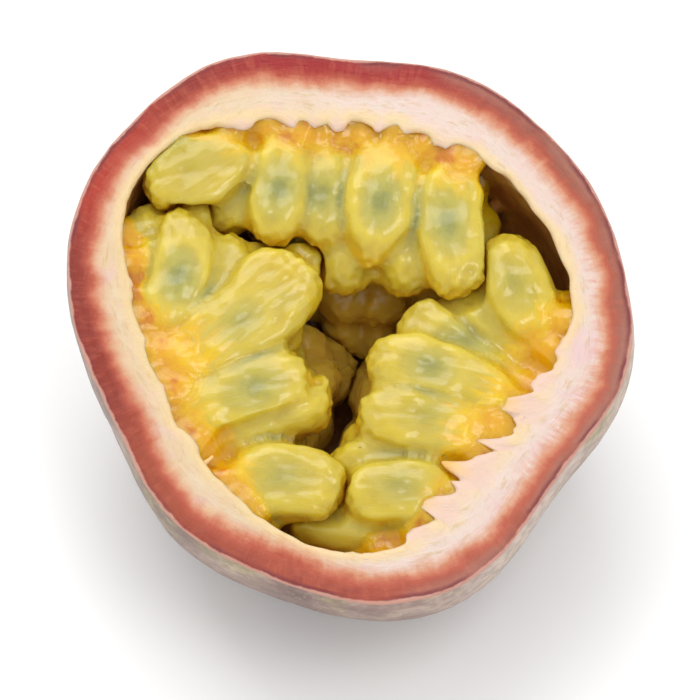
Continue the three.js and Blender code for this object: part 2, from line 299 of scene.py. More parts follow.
def torn(points, from_edge):
    """Pulls teeth out of the hollow's edge, and says how far each point was pulled."""
    turn, down = np.arctan2(points[:, 1], points[:, 0]), np.maximum(0, -points[:, 2])
    near = np.clip(1 - from_edge / TORN_ACROSS, 0, 1) ** 1.8 * np.clip(1 - down / TORN_DOWN, 0, 1) ** 1.3
    moved, pulled = points.copy(), np.zeros(len(points))
    ragged = np.degrees(turn) + 0.9 * lumps(points, 1.5, 51)
    near *= 1 + 0.3 * lumps(points, 1.2, 52)
    for angle, long, wide, lean in TEETH:
        away = np.abs((ragged - angle + 180) % 360 - 180) / wide
        pull = long * np.exp(-((2.1 * away) ** 2)) * near
        moved[:, 0] += pull * (lean * np.sin(turn) - np.cos(turn))
        moved[:, 1] -= pull * (lean * np.cos(turn) + np.sin(turn))
        moved[:, 2] -= 0.1 * pull ** 1.4
        pulled = np.maximum(pulled, pull)
    return moved, pulled


# %% Join the rings into the rind
near_scar = math.pi / 2 - np.linspace(0.004, 0.13, 18)
up_the_side = np.linspace(math.pi / 2 - 0.14, cut_tilt(SKIN_REACH) + 0.02, 104)
skin = [skin_ring(tilt) for tilt in np.concatenate([near_scar, up_the_side])]
upper_wall = np.linspace(cut_tilt(HOLLOW_REACH) + 0.04, 0.5, 24)
lower_wall = np.linspace(0.56, 1.555, 30)
wall = [hollow_ring(tilt) for tilt in np.concatenate([upper_wall, lower_wall])]
level = np.array([1, 1, 0])
outer_rim = skin_ring(cut_tilt(SKIN_REACH)) * level
inner_rim = hollow_ring(cut_tilt(HOLLOW_REACH)) * level
cut, cut_depths, width = cut_rings(outer_rim, inner_rim)
rings = skin + cut + wall

faces = []
for k in range(len(rings) - 1):
    for i in range(TURNS):
        j = (i + 1) % TURNS
        faces.append((k * TURNS + i, k * TURNS + j, (k + 1) * TURNS + j, (k + 1) * TURNS + i))
scar_middle = len(rings) * TURNS
hollow_bottom = scar_middle + 1
last_ring = (len(rings) - 1) * TURNS
for i in range(TURNS):
    j = (i + 1) % TURNS
    faces.append((scar_middle, j, i))
    faces.append((hollow_bottom, last_ring + i, last_ring + j))

points = np.concatenate(rings + [rings[0].mean(0, keepdims=True), rings[-1].mean(0, keepdims=True)])
walls = np.append(np.tile(width, len(rings)), [0, width.mean()])
wall_depths = np.tile(width, len(wall))
depth = np.concatenate([np.zeros(len(skin) * TURNS), *cut_depths, wall_depths, [0, width.mean()]])
around = np.arctan2(points[:, 1], points[:, 0])
points, pulled = torn(points, walls - depth)
rind = build("rind_half", points, faces)
keep(rind, "depth", depth)
keep(rind, "down", -points[:, 2])
keep(rind, "wall", walls)
keep(rind, "torn", pulled)
keep(rind, "from_axis", np.hypot(points[:, 0], points[:, 1]))
keep(rind, "radial", np.stack([25 * np.cos(around), 25 * np.sin(around), depth * 0.22], -1))
print("rind:", len(points), "points; wall", round(width.min(), 1), "to", round(width.max(), 1), "mm")

# %% [markdown]
# ## Where the sacs lie
# The knife shows the top layer of sacs, so each of those is given one by one: the angle on the wall
# where it is rooted, where its tip ends, how deep its middle line lies, its half-width, and how square
# its tip is. The rows under it only show in the gaps, so a rule lays them out. The numbers are those
# of the imported model, so that the solids under this surface have the same forms.

# %% The table of sacs
PEG_SPAN = {"top": 0.7, "left": 0.7, "right": 1.7}
MIDDLE = {"top": 80, "left": 200, "right": 320}
CUT_SACS = {
    # root angle, tip x, tip y, down, half-width, squareness
    "top": [
        (124, -18.4, 12.9, 2.5, 4.6, 2.8), (113, -12.4, 9.9, 4.6, 3.2, 2.0),
        (107, -7.0, 7.6, 2.5, 2.9, 2.2),
        (94, -1.8, 7.4, 3.4, 2.7, 2.0), (74, 2.7, 5.3, 2.5, 3.5, 1.4), (54, 11.8, 2.6, 2.4, 3.2, 3.6),
        (66, 6.8, 3.2, 5.0, 3.2, 2.4), (88, 0.3, 3.6, 5.6, 3.0, 2.4),
    ],
    "left": [
        (164, -13.2, 13.4, 3.6, 3.1, 2.0), (170, -18.4, 12.0, 4.2, 3.2, 2.6),
        (183, -15.4, 11.0, 2.5, 3.5, 2.4),
        (190, -10.2, 9.0, 3.8, 3.1, 2.0), (197, -3.5, 5.8, 2.5, 4.2, 2.8), (196, -4.2, 1.8, 5.4, 3.4, 2.6),
        (213, -2.8, -5.8, 2.4, 3.4, 2.8), (218, -0.8, -7.4, 4.0, 3.4, 3.2),
        (227, -4.6, -12.4, 6.4, 3.2, 2.0),
        (241, 0.0, -17.5, 2.6, 3.6, 3.6), (193, -6.8, 8.4, 4.8, 2.8, 2.0), (200, -2.4, 8.2, 5.2, 3.0, 2.0),
    ],
    "right": [
        (357, 15.8, 8.7, 2.8, 3.5, 2.2), (348, 11.0, 4.8, 4.7, 3.2, 2.0), (342, 6.2, 1.4, 4.6, 3.1, 2.8),
        (332, 2.4, -3.6, 2.5, 3.5, 2.0), (320, 1.6, -9.7, 2.6, 3.5, 2.4), (316, 0.2, -11.6, 5.4, 3.0, 2.0),
        (308, -1.4, -14.4, 4.2, 2.8, 2.0), (297, 0.4, -17.7, 2.6, 3.3, 3.0),
        (282, -4.8, -19.4, 5.0, 3.0, 2.0),
    ],
}
# How clearly each one's seed shows through it, in the same order.
SEED_SHOWS = {
    "top": [0.12, 0.3, 1, 0.9, 1.1, 1, 0.15, 0.15],
    "left": [0.4, 0.3, 1.1, 0.3, 0.6, 0.2, 0.8, 0.6, 0.2, 0.5, 0.2, 0.2],
    "right": [0.5, 0.2, 0.9, 0.8, 0.4, 0.3, 0.3, 0.5, 0.3],
}
# down, how many, over how many degrees, and where the short and the long tips end
UNDER_ROWS = [(8.6, 7, 76, (0.5, 0.28)), (13.2, 5, 70, (0.4, 0.15)), (17.2, 5, 68, (0.3, 0.02))]
UNDER_HALF = 3.3
UNDER_SHOWS = 0.3
TIP_SINK = 1
HEART = np.array([2, 0.9])  # where the tips of the hidden sacs point
BEND, SETTLE = 0.42, 0.15  # a sac leaves the wall square to it, and then turns to its tip


def lay_out(row, peg, sink=0):
    """A sac's middle line: its peg's foot on the wall, its root, a bend and its tip."""
    angle, tip_x, tip_y, down, half, square = row
    a = math.radians(angle)
    foot = hollow_at(a, down)
    inwards = np.array([-math.cos(a), -math.sin(a), 0])
    root = foot + inwards * peg
    tip = np.array([tip_x, tip_y, -down - sink])
    length = np.linalg.norm(tip - root)
    bend = root + inwards * length * BEND
    bend += (tip - bend) * SETTLE
    return {"foot": foot, "root": root, "bend": bend, "tip": tip,
            "length": length, "half": half, "square": square}


def under_row(down, count, spread, ends, direction, peg):
    """A row below the cut layer. Its sacs grow towards the heart of the hollow, a short one and a
    long one in turn."""
    made = []
    for i in range(count):
        angle = direction + spread * (i / (count - 1) - 0.5)
        tip = HEART + (hollow_at(math.radians(angle), down)[:2] - HEART) * ends[i % 2]
        made.append(lay_out((angle, *tip, down, UNDER_HALF, 2), peg, TIP_SINK))
    return made


bunches = {}
for name, rows in CUT_SACS.items():
    shown = zip(rows, SEED_SHOWS[name])
    bunches[name] = [dict(lay_out(row, PEG_SPAN[name]), layer=0, shows=shows) for row, shows in shown]
    for layer, row in enumerate(UNDER_ROWS, 1):
        hidden = under_row(*row, MIDDLE[name], PEG_SPAN[name])
        bunches[name] += [dict(sac, layer=layer, shows=UNDER_SHOWS) for sac in hidden]
sacs = [sac for bunch in bunches.values() for sac in bunch]
print(len(sacs), "sacs in", len(bunches), "bunches")

# %% [markdown]
# ## The shape of a sac
# A sac is a bag that is gathered at its root and round at its tip. On its own it would be a smooth
# egg, but it is packed against its neighbours, and where two press on each other they share a flat
# wall. That wall lies where both are equally full, so each sac is grown outwards from its middle line
# until a neighbour is nearer, in shares of their widths, than itself.

# %% One sac on its own
ROOT_WIDTH = 0.55  # a sac's width at its root, as a share of its full width
ROOT_SHARE = 0.3  # the share of its length over which it widens
CAP_LENGTH = 1.5  # length of the rounded tip, in half-widths
SAC_FLATNESS = 0.93  # height against width
SECTION = 2.5  # a sac's cross-section, from 2, an ellipse, towards a box with round corners
LEVEL_TOP = -0.15  # the other half held the top sacs down to this height
LEVEL_ROOM = 1.15  # and squeezed everything that stood less than this far below it


def axis_at(sac, share):
    s = np.asarray(share, float)[..., None]
    return (1 - s) ** 2 * sac["root"] + 2 * s * (1 - s) * sac["bend"] + s ** 2 * sac["tip"]


def tangent_at(sac, share):
    s = np.asarray(share, float)[..., None]
    way = (1 - s) * (sac["bend"] - sac["root"]) + s * (sac["tip"] - sac["bend"])
    return way / np.linalg.norm(way, axis=-1, keepdims=True)


def width_at(sac, share):
    """A sac's width at shares of its length, as a share of its full width."""
    s = np.asarray(share, float)
    grow = np.clip(s / ROOT_SHARE, 0, 1)
    gathered = ROOT_WIDTH + (1 - ROOT_WIDTH) * grow ** 2 * (3 - 2 * grow)
    start = 1 - min(0.6, CAP_LENGTH * sac["half"] / sac["length"])
    cap = np.clip((s - start) / (1 - start), 0, 1)
    round_root = np.sqrt(1 - (1 - np.clip(s / 0.05, 0, 1)) ** 2)
    return gathered * round_root * (1 - cap ** sac["square"]) ** (1 / sac["square"])


def section(a):
    return (np.abs(np.cos(a)) ** SECTION + np.abs(np.sin(a)) ** SECTION) ** (-1 / SECTION)


def levelled(z):
    """Heights near the cut, squeezed to stay below it, because the other half held the sacs down."""
    knee = LEVEL_TOP - LEVEL_ROOM
    return np.where(z < knee, z, knee + LEVEL_ROOM * np.tanh((z - knee) / LEVEL_ROOM))


# %% How full a sac is at a point
BALLS = np.linspace(0.03, 0.97, 20)
for sac in sacs:
    sac["centres"] = axis_at(sac, BALLS)
    sac["radii"] = np.maximum(sac["half"] * width_at(sac, BALLS), 0.4)


def fullness(sac, q):
    """Below 1 inside the sac, 1 on its surface, more outside."""
    gap = np.linalg.norm(q[:, None] - sac["centres"][None], axis=2) / sac["radii"]
    return gap.min(1)


def neighbours(sac):
    near = []
    for other in sacs:
        apart = np.linalg.norm(sac["centres"][:, None] - other["centres"][None], axis=2)
        if other is not sac and (apart < sac["radii"][:, None] + other["radii"][None]).any():
            near.append(other)
    return near


# %% A sac that nothing presses on


def rings_of(sac, rng, along_steps, around_steps):
    """The middle, direction and reach of every point of a sac that nothing presses on."""
    body = np.linspace(0.07, 0.84, along_steps * 3 // 4)
    cap = 1 - 0.16 * np.cos(np.linspace(0, math.pi / 2, along_steps // 4 + 1)[1:])
    share = np.minimum(np.concatenate([[0.008, 0.03], body, cap]), 0.9995)
    along = tangent_at(sac, share)
    side = np.cross([0, 0, 1], along)
    side /= np.linalg.norm(side, axis=1)[:, None]
    up = np.cross(along, side)
    a = np.arange(around_steps) * 2 * math.pi / around_steps
    way = side[:, None] * np.cos(a)[:, None] + up[:, None] * (SAC_FLATNESS * np.sin(a))[:, None]
    fold = np.cos(a * rng.integers(6, 9) + rng.uniform(0, 6) + 4 * share[:, None])
    pleats = 1 + 0.07 * np.clip(1 - share / 0.38, 0, 1)[:, None] * fold
    count, start, twist = rng.integers(4, 6), rng.uniform(0, 6), rng.uniform(-1, 1)
    corner = 1 - np.abs(np.sin(count * (a - start + twist * share[:, None]) / 2))
    crease = 0.05 + 0.06 * np.clip(share / 0.35 - 1.6, 0, 1)
    pleats = pleats * (1 + crease[:, None] * (corner - 0.36))
    reach = (sac["half"] * width_at(sac, share))[:, None] * pleats * section(a)
    return share, np.repeat(axis_at(sac, share), around_steps, 0), way.reshape(-1, 3), reach.reshape(-1)


# %% A sac among its neighbours
SEAM = 0.09  # what two neighbours leave free between them, in shares of their widths
WALL_ROOM = 0.12  # what a sac leaves free at the wall


def pressed_share(sac, base, way, reach):
    """How much of its reach each point keeps, once the neighbours and the wall have pressed on it."""
    near = neighbours(sac)

    def free(part):
        q = base + way * (reach * part)[:, None]
        own = fullness(sac, q)
        clear = np.ones(len(q), bool)
        for other in near:
            clear &= own <= fullness(other, q) - SEAM
        wall_there = hollow_at(np.arctan2(q[:, 1], q[:, 0]), -q[:, 2], WALL_ROOM)
        return clear & (np.hypot(q[:, 0], q[:, 1]) < np.hypot(wall_there[:, 0], wall_there[:, 1]))

    low, high = np.zeros(len(base)), np.ones(len(base))
    whole = free(high)
    for _ in range(8):
        half_way = (low + high) / 2
        clear = free(half_way)
        low, high = np.where(clear, half_way, low), np.where(clear, high, half_way)
    return np.where(whole, 1.0, low)


def relaxed(part, rows):
    """A sac's skin is stretched, so it rounds off every corner that its neighbours leave."""
    part = part.reshape(rows, -1)
    for _ in range(2):
        padded = np.pad(part, ((1, 1), (0, 0)), "edge")
        part = 0.5 * part + 0.125 * (np.roll(part, 1, 1) + np.roll(part, -1, 1) + padded[:-2] + padded[2:])
    return part.reshape(-1)


# %% A sac with what its finish needs to know
def sac_part(sac, seed, along_steps, around_steps):
    """A sac's points, and what the material needs to know at each: how far along it is, and where it
    is from the middle of the seed, in the sac's own axes."""
    rng = np.random.default_rng(seed)
    share, base, way, reach = rings_of(sac, rng, along_steps, around_steps)
    soft = np.repeat(np.clip(share * 6, 0, 1), around_steps)
    reach = reach * (1 + 0.05 * soft * lumps(base + way * reach[:, None], 4.2, seed))
    part = relaxed(pressed_share(sac, base, way, reach), len(share))
    q = base + way * (reach * part)[:, None]
    q = np.vstack([q, axis_at(sac, 0.0), q[-around_steps:].mean(0)])
    q[:, 2] = levelled(q[:, 2])
    share_of_seed = 0.56 + rng.uniform(-0.04, 0.05)
    seed_middle = axis_at(sac, share_of_seed)
    t = tangent_at(sac, share_of_seed)
    s = np.cross([0, 0, 1], t)
    s /= np.linalg.norm(s)
    aside, size = rng.uniform(-0.4, 0.4), rng.uniform(0.86, 1.12)
    own = (q - seed_middle - s * aside) @ np.stack([s, t, np.cross(t, s)], 1) / size
    return {
        "points": q,
        "along": np.concatenate([np.repeat(share, around_steps), [0, 1]]),
        "own": own,
        "random": np.full(len(q), rng.uniform()),
        "shows": np.full(len(q), sac["shows"]),
        "rows": len(share),
    }


# %% Make the bunches
# How many rings and columns a sac has, in the cut layer and in the three hidden ones.
RESOLUTION = {0: (46, 40), 1: (36, 30), 2: (24, 22), 3: (20, 18)}


def tube_faces(first, rows, around):
    """Faces of a closed tube of rings, whose two end points come after them."""
    made = []
    for k in range(rows - 1):
        for i in range(around):
            j = (i + 1) % around
            a = first + k * around
            made.append((a + i, a + j, a + around + j, a + around + i))
    start, end = first + rows * around, first + rows * around + 1
    last = first + (rows - 1) * around
    for i in range(around):
        j = (i + 1) % around
        made.append((start, first + j, first + i))
        made.append((end, last + i, last + j))
    return made


def make_bunch(name, bunch, seed):
    parts, faces, first = [], [], 0
    for k, sac in enumerate(bunch):
        part = sac_part(sac, seed + k, *RESOLUTION[sac["layer"]])
        faces += tube_faces(first, part["rows"], RESOLUTION[sac["layer"]][1])
        first += len(part["points"])
        parts.append(part)
    piece = build("bags_" + name, np.concatenate([part["points"] for part in parts]), faces)
    for field in ("along", "own", "random", "shows"):
        keep(piece, field, np.concatenate([part[field] for part in parts]))
    return piece


bags = {name: make_bunch(name, bunch, 100 * (k + 1)) for k, (name, bunch) in enumerate(bunches.items())}
print("faces:", {name: len(piece.data.polygons) for name, piece in bags.items()})


# %% [markdown]
# ## Materials
# Every finish here is made of nodes that read where a point is, so there is nothing to load. A few
# short helpers keep the node trees readable.

# %% Helpers for node trees
def linear(r, g, b):
    """A colour given as it shows on a screen, 0 to 255, in the linear values that nodes use."""
    shares = [v / 255 for v in (r, g, b)]
    return tuple(((v + 0.055) / 1.055) ** 2.4 if v > 0.04 else v / 12.92 for v in shares) + (1,)


class Finish:
    """A material, with a short way to add nodes to it and join them up."""

    def __init__(self, name, **settings):
        self.material = bpy.data.materials.new(name)
        self.material.use_nodes = True
        self.tree = self.material.node_tree
        self.shader = self.tree.nodes["Principled BSDF"]
        for socket, value in settings.items():
            self.shader.inputs[socket.replace("_", " ")].default_value = value

    def join(self, source, socket):
        if isinstance(source, bpy.types.NodeSocket):
            self.tree.links.new(source, socket)
        else:
            socket.default_value = source

    def node(self, kind, output, inputs, **settings):
        made = self.tree.nodes.new("ShaderNode" + kind)
        for key, value in settings.items():
            setattr(made, key, value)
        for socket, source in inputs.items():
            self.join(source, made.inputs[socket])
        return made.outputs[output]

    def attribute(self, name, output="Fac"):
        return self.node("Attribute", output, {}, attribute_name=name)

    def place(self):
        return self.node("TexCoord", "Object", {})

    def noise(self, where, scale, detail=3, roughness=0.55):
        return self.node("TexNoise", "Fac", {
            "Vector": where, "Scale": scale, "Detail": detail, "Roughness": roughness})

    def cells(self, where, scale):
        return self.node("TexVoronoi", "Distance", {"Vector": where, "Scale": scale})

    def sum(self, a, b, how="ADD"):
        return self.node("Math", "Value", {0: a, 1: b}, operation=how)

    def times(self, a, b):
        return self.sum(a, b, "MULTIPLY")

    def ramp(self, source, low, high, start=0.0, end=1.0):
        """A smooth change from start to end as the source goes from low to high."""
        return self.node("MapRange", "Result", {
            "Value": source, "From Min": low, "From Max": high, "To Min": start, "To Max": end},
            interpolation_type="SMOOTHSTEP")

    def blend(self, share, a, b):
        """Colour a, turned into colour b by a share."""
        made = self.tree.nodes.new("ShaderNodeMix")
        made.data_type = "RGBA"
        self.join(share, made.inputs["Factor"])
        self.join(a, made.inputs["A"])
        self.join(b, made.inputs["B"])
        return made.outputs["Result"]

    def part(self, vector, axis):
        return self.node("SeparateXYZ", axis, {"Vector": vector})

    def dot(self, vector, way):
        return self.node("VectorMath", "Value", {0: vector, 1: tuple(way)}, operation="DOT_PRODUCT")

    def length(self, vector):
        return self.node("VectorMath", "Value", {0: vector}, operation="LENGTH")

    def stretch(self, vector, x, y, z):
        return self.node("Mapping", "Vector", {"Vector": vector, "Scale": (x, y, z)})

    def bump(self, height, distance, below=None):
        made = self.node("Bump", "Normal", {"Height": height, "Distance": distance, "Strength": 1.0})
        if below is not None:
            self.join(below, made.node.inputs["Normal"])
        self.join(made, self.shader.inputs["Normal"])
        return made


# %% [markdown]
# ## The skin
# A ripe passion fruit is a dull greyish purple, clouded with maroon and olive, and sprinkled with fine
# tan specks and a few larger yellow-green ones. Near the cut it is painted paler, for the light that the
# white floor throws up and the sheen on it, and round the stem scar it stays green. A painted map would
# have to be stretched round the stem end, so each of these is a mask of noise, read from where a point
# is and laid over the last one in the order they are named here.


# %% Skin finish
def skin_finish():
    f = Finish("passion_fruit_skin", Specular_IOR_Level=0.4, Coat_Weight=0.12, Coat_Roughness=0.35,
               Subsurface_Weight=0.08, Subsurface_Radius=(1.0, 0.5, 0.4), Subsurface_Scale=0.0008)
    here = f.place()
    down, from_axis = f.attribute("down"), f.attribute("from_axis")
    cloudy = f.noise(here, 70, 4, 0.6)
    fine = f.noise(here, 900, 3, 0.6)
    skin = f.blend(f.ramp(cloudy, 0.36, 0.66), linear(96, 66, 66), linear(150, 124, 112))
    skin = f.blend(f.ramp(f.noise(here, 38, 2), 0.5, 0.72, 0, 0.75), skin, linear(104, 52, 58))
    # Painted light: near the cut the skin is painted paler, for the light that the white floor throws up
    # and its sheen.
    pale = f.times(f.ramp(down, 0.5, 13, 1, 0), f.ramp(f.noise(here, 110), 0.3, 0.7))
    skin = f.blend(pale, skin, linear(196, 172, 156))
    # Paler still on the right side, near the cut.
    paler_on_right = f.times(f.ramp(f.part(here, "X"), 0.004, 0.014), f.ramp(down, 1, 12, 0.8, 0))
    skin = f.blend(paler_on_right, skin, linear(206, 186, 172))
    skin = f.blend(f.ramp(f.noise(here, 150, 4, 0.65), 0.5, 0.66, 0, 0.7), skin, linear(160, 150, 104))
    specks, speckled = f.ramp(f.cells(here, 1500), 0.1, 0.34, 0.75, 0), f.noise(here, 260, 2)
    skin = f.blend(f.times(specks, f.ramp(speckled, 0.42, 0.62)), skin, linear(190, 170, 130))
    pores, porous = f.ramp(f.cells(here, 420), 0.06, 0.2, 0.9, 0), f.noise(here, 120, 2)
    skin = f.blend(f.times(pores, f.ramp(porous, 0.5, 0.6)), skin, linear(206, 196, 130))
    skin = f.blend(f.ramp(fine, 0.35, 0.65, 0, 0.35), skin, linear(80, 58, 56))
    stem_end = f.ramp(down, 20, 27)
    halo = f.ramp(f.sum(from_axis, f.ramp(f.noise(here, 220), 0, 1, -2.6, 2.6)), 2.5, 9, 1, 0)
    skin = f.blend(f.times(halo, stem_end), skin, linear(158, 172, 62))
    scar = f.ramp(f.sum(from_axis, f.ramp(fine, 0, 1, -0.5, 0.5)), 1.7, 2.4, 1, 0)
    skin = f.blend(f.times(scar, stem_end), skin, linear(214, 200, 160))
    skin = f.blend(f.times(f.ramp(from_axis, 0.5, 1.5, 1, 0), stem_end), skin, linear(96, 72, 48))
    f.join(skin, f.shader.inputs["Base Color"])
    f.join(f.ramp(cloudy, 0.3, 0.7, 0.5, 0.66), f.shader.inputs["Roughness"])
    f.bump(f.cells(here, 600), 0.00003, f.bump(fine, 0.00006))
    return f.material


# %% [markdown]
# ## The cut
# Across the cut come a pale outer line, a thin dark one, a red band and the white pith. The pale line
# is the skin's own pale edge, with a painted highlight along it as well. They could be rings with a
# material each, but real ones have no clean border. Here each is laid over the last by how deep a point
# lies in from the skin, a number that the mesh carries. The red bleeds into the white in little streaks
# that point inwards, so the noise that frays it is read from coordinates that hardly change across the
# rind.


# %% The red band and the pith
def red_band(f, across, back, streak, patch, dusty):
    """Crimson at the top, browner at the lower left, duller on the right, and paler in streaks."""
    red = f.blend(f.ramp(across, -0.019, -0.006), linear(134, 36, 14), linear(152, 24, 24))
    red = f.blend(f.ramp(across, 0.004, 0.02, 0, 0.85), red, linear(148, 90, 70))
    red = f.blend(f.ramp(back, -0.018, -0.004, 0.75, 0), red, linear(158, 74, 44))
    upper_left = f.times(f.ramp(across, -0.022, -0.014, 1, 0), f.ramp(back, 0.004, 0.012, 0, 0.7))
    red = f.blend(upper_left, red, linear(178, 46, 18))
    red = f.blend(f.ramp(streak, 0.45, 0.72, 0, 0.4), red, linear(186, 92, 66))
    red = f.blend(f.ramp(patch, 0.48, 0.75, 0, 0.55), red, linear(116, 26, 24))
    return f.blend(f.times(dusty, f.ramp(across, -0.004, 0.012)), red, linear(160, 108, 92))


def white_pith(f, here, across, raw, layers, streak, patch):
    """Cream on the left, pinker on the right, with juice stains where juice ran, and gold where it is torn.
    """
    pith = f.blend(f.ramp(patch, 0.35, 0.65), linear(213, 194, 166), linear(212, 186, 150))
    pith = f.blend(f.ramp(across, -0.012, 0.004, 0, 0.75), pith, linear(216, 197, 192))
    pith = f.blend(f.ramp(layers, 0.52, 0.68, 0, 0.65), pith, linear(196, 166, 122))
    pith = f.blend(f.ramp(layers, 0.3, 0.46, 0.6, 0), pith, linear(216, 184, 168))
    pith = f.blend(f.ramp(f.noise(here, 210, 2), 0.54, 0.7, 0, 0.6), pith, linear(214, 180, 182))
    bled = f.times(f.ramp(across, 0.008, 0.022, 0, 0.8), f.ramp(streak, 0.42, 0.62))
    pith = f.blend(f.times(bled, f.ramp(raw, 2.6, 4.4, 1, 0)), pith, linear(206, 150, 134))
    inner = f.sum(f.attribute("wall"), raw, "SUBTRACT")
    inner = f.sum(inner, f.ramp(patch, 0.3, 0.7, -0.4, 0.4))
    pith = f.blend(f.ramp(inner, 0.3, 1.6, 0.7, 0), pith, linear(222, 196, 140))
    torn_out = f.attribute("torn")
    pith = f.blend(f.ramp(torn_out, 0.2, 0.9, 0, 0.8), pith, linear(216, 186, 172))
    return f.blend(f.ramp(torn_out, 1.2, 3.6, 0, 0.85), pith, linear(226, 180, 92))


# %% Cut finish
def frayed_depth(f, raw, across, back, *frays):
    """How deep a point counts as in from the skin: frayed, and less on the left below the middle,
    so that the red goes deeper there, and more at the upper left and on the right."""
    depth = raw
    for noise, contrast, reach in frays:
        depth = f.sum(depth, f.ramp(noise, 0.5 - contrast, 0.5 + contrast, -reach, reach))
    lower, upper = f.ramp(back, -0.014, -0.006, 0, -0.45), f.ramp(back, 0.001, 0.007, 0, 0.6)
    depth = f.sum(depth, f.times(f.ramp(across, -0.022, -0.014, 1, 0), f.sum(lower, upper)))
    right = f.times(f.ramp(across, 0.006, 0.017), f.ramp(back, 0.004, 0.014, 0.52, 0))
    return f.sum(depth, right)


def cut_finish():
    f = Finish("cut_rind", Specular_IOR_Level=0.3, Coat_Weight=0.1, Coat_Roughness=0.3,
               Subsurface_Weight=0.4, Subsurface_Radius=(1.6, 0.8, 0.5), Subsurface_Scale=0.0006)
    radial, here, raw = f.attribute("radial", "Vector"), f.place(), f.attribute("depth")
    across, back = f.part(here, "X"), f.part(here, "Y")
    jag = f.noise(radial, 0.8, 4, 0.6)
    slow = f.noise(radial, 0.09, 2, 0.5)
    streak = f.noise(radial, 1.8, 4, 0.65)
    patch = f.noise(here, 260, 4, 0.65)
    layers = f.noise(f.stretch(radial, 0.3, 0.3, 7), 1.5, 4, 0.65)
    dusty = f.times(f.ramp(raw, 0.4, 1.8, 0.75, 0), f.ramp(f.noise(radial, 0.11, 2), 0.42, 0.6))
    red = red_band(f, across, back, streak, patch, dusty)
    pith = white_pith(f, here, across, raw, layers, streak, patch)
    frays = ((jag, 0.25, 0.15), (patch, 0.25, 0.42), (slow, 0.2, 0.3))
    depth = frayed_depth(f, raw, across, back, *frays)
    face = f.blend(f.ramp(depth, 1.1, 2.5), red, linear(180, 84, 58))
    face = f.blend(f.ramp(depth, 1.9, 3.1), face, linear(202, 142, 108))
    face = f.blend(f.ramp(depth, 2.5, 3.9), face, pith)
    edge = f.sum(raw, f.ramp(patch, 0.3, 0.7, -0.12, 0.12))
    dark = f.ramp(f.noise(radial, 0.22, 2), 0.38, 0.62, 0.2, 0.9)
    face = f.blend(f.times(dark, f.ramp(edge, 0.35, 0.8, 1, 0)), face, linear(112, 34, 40))
    # Partly painted highlight: the pale line at the very edge is the skin's pale edge, painted lighter as
    # light catching on the rim.
    face = f.blend(f.ramp(edge, 0.14, 0.34, 0.9, 0), face, linear(192, 146, 130))
    f.join(face, f.shader.inputs["Base Color"])
    f.join(f.ramp(depth, 1.8, 3.2, 0.36, 0.5), f.shader.inputs["Roughness"])
    f.bump(f.noise(here, 2200, 2), 0.00003, f.bump(layers, 0.00018, f.bump(streak, 0.00007)))
    return f.material


# %% [markdown]
# ## The wall of the hollow
# The pith's inner skin starts pale at the cut and turns brown further down, where it is wet and
# shines. The brown is partly a juice stain and partly painted shade, for the dark that the rim and the
# pulp leave there. The mesh says how far below the cut a point is, which a height above the floor
# could not, because the fruit leans.


# %% Wall finish
def wall_finish():
    f = Finish("hollow_wall", Roughness=0.3, Coat_Weight=0.5, Coat_Roughness=0.1,
               Subsurface_Weight=0.25, Subsurface_Radius=(1.4, 0.7, 0.3), Subsurface_Scale=0.0008)
    here = f.place()
    down = f.sum(f.attribute("down"), f.ramp(f.noise(here, 420, 4, 0.6), 0.25, 0.75, -0.7, 0.7))
    lip = f.blend(f.ramp(f.noise(here, 500, 2), 0.4, 0.6), linear(238, 208, 160), linear(232, 192, 124))
    # Juice stain and painted shade: below the cut the wall is painted brown, partly stain and partly the
    # shade under the rim and the pulp.
    stained_and_shaded = f.blend(f.ramp(f.noise(here, 300), 0.35, 0.65), linear(150, 92, 44), linear(186, 132, 62))
    wall = f.blend(f.ramp(down, 0.6, 2.0), lip, stained_and_shaded)
    wall = f.blend(f.ramp(f.attribute("torn"), 0.1, 0.5, 0, 0.85), wall, linear(216, 178, 130))
    f.join(wall, f.shader.inputs["Base Color"])
    f.bump(f.noise(here, 2400, 2), 0.00004, f.bump(f.noise(here, 600), 0.0002))
    return f.material


# %% [markdown]
# ## The juice sacs
# A sac is a skin full of cloudy juice, so light goes in, wanders about and comes out yellow: that is
# subsurface scattering. Clear glass round a real seed would take far longer to render. So the seed
# is a soft grey-green shadow in the colour, strongest where the least juice covers it, as the place
# of each point from the seed's middle tells. Towards the root the juice turns gold and then orange,
# in streaks that run along the sac. Some of that light is painted into the colour as well: a brighter
# gold low on each sac, a bright halo round the seed, and a lighter tint on the deep sacs in the hollow.


# %% The seed's shadow and the golden root
def with_seed(f, juice, own, cloud, grain):
    """A painted bright halo, for light glowing through the juice round the seed, a grey-green ring inside
    it, and a darker core.
    """
    ring = f.length(f.stretch(own, 1 / 2.3, 1 / 3.3, 0))
    ring = f.sum(ring, f.ramp(cloud, 0.3, 0.7, -0.14, 0.14))
    core = f.length(f.stretch(own, 1 / 1.1, 1 / 1.5, 0))
    core = f.sum(core, f.ramp(grain, 0.3, 0.7, -0.16, 0.16))
    # Painted highlight: the halo is juice painted lighter round the seed's grey-green ring, as light
    # through the juice would show.
    halo = f.times(f.ramp(ring, 0.75, 1.05), f.ramp(ring, 1.1, 1.6, 0.42, 0))
    top = f.times(f.ramp(f.part(own, "Z"), 0.3, 1.6), f.attribute("shows"))
    juice = f.blend(f.times(top, halo), juice, linear(212, 192, 72))
    juice = f.blend(f.times(top, f.ramp(ring, 0.5, 1.12, 0.66, 0)), juice, linear(170, 166, 86))
    return f.blend(f.times(top, f.ramp(core, 0.1, 1.35, 0.66, 0)), juice, linear(118, 126, 68))


